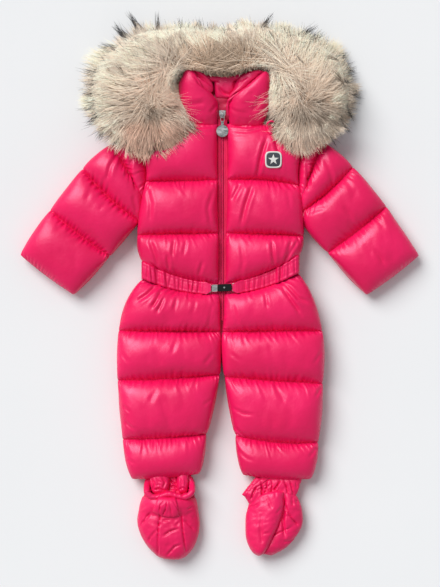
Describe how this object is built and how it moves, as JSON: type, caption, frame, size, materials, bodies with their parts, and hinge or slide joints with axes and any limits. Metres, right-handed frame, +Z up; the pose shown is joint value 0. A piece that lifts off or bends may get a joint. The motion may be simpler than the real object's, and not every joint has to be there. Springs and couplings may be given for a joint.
{
  "type": "baby snowsuit laid flat with hood, fur ruff, belt and booties",
  "caption": "Quilted down baby snowsuit lying flat on its back, with stand collar, fur-edged hood, zip front, buckled waist belt and padded booties.",
  "frame": {"origin": "centre of the laid-out garment's bounding box, on the surface it lies on", "axes": "+Z up out of the front, +Y towards the hood, +X towards the wearer's left sleeve"},
  "size_m": [0.6726, 0.9004, 0.0884],
  "materials": {
    "shell_nylon": "glossy woven nylon over down, fuchsia",
    "belt_elastic": "gathered nylon over elastic",
    "zip_tape": "woven tape with moulded teeth in the same colour",
    "fur": "long guard hair over dense underfur, cream to brown with dark tips",
    "patch": null,
    "zip_metal": "antique silver",
    "buckle_metal": "polished silver",
    "buckle_dark": "gloss black plate"
  },
  "bodies": {
    "garment": {"back_leg_L": "shell_nylon", "back_leg_R": "shell_nylon", "back_torso": "shell_nylon", "belt_back": "belt_elastic", "belt_front_L": "belt_elastic", "belt_front_R": "belt_elastic", "bootie_L_ankle": "shell_nylon", "bootie_L_side_down": "shell_nylon", "bootie_L_side_up": "shell_nylon", "bootie_L_sole": "shell_nylon", "bootie_R_ankle": "shell_nylon", "bootie_R_side_in": "shell_nylon", "bootie_R_side_out": "shell_nylon", "bootie_R_sole": "shell_nylon", "bootie_R_vamp": "shell_nylon", "buckle_hook": "buckle_metal", "buckle_loop_L": "buckle_metal", "buckle_loop_R": "buckle_metal", "buckle_plate": "buckle_dark", "buckle_rivet": "buckle_metal", "chest_patch": "patch", "collar_back": "shell_nylon", "collar_front_L": "shell_nylon", "collar_front_R": "shell_nylon", "front_leg_L": "shell_nylon", "front_leg_R": "shell_nylon", "front_torso_L": "shell_nylon", "front_torso_R": "shell_nylon", "fur_ruff": "fur", "hood": "shell_nylon", "hood_tab": "shell_nylon", "sleeve_back_L": "shell_nylon", "sleeve_back_R": "shell_nylon", "sleeve_front_L": "shell_nylon", "sleeve_front_R": "shell_nylon", "zip_chain": "zip_tape", "zip_slider": "zip_metal", "zip_tape_L": "zip_tape", "zip_tape_R": "zip_tape"},
    "pull": {"zip_pull": "zip_metal"}
  },
  "joints": [
    {"name": "zip_pull_hinge", "type": "hinge", "parent": "garment", "child": "pull", "pos_m": [0.00455, 0.29775, 0.0436], "axis": [-1, 0, 0], "range_deg": [0, 95]}
  ]
}
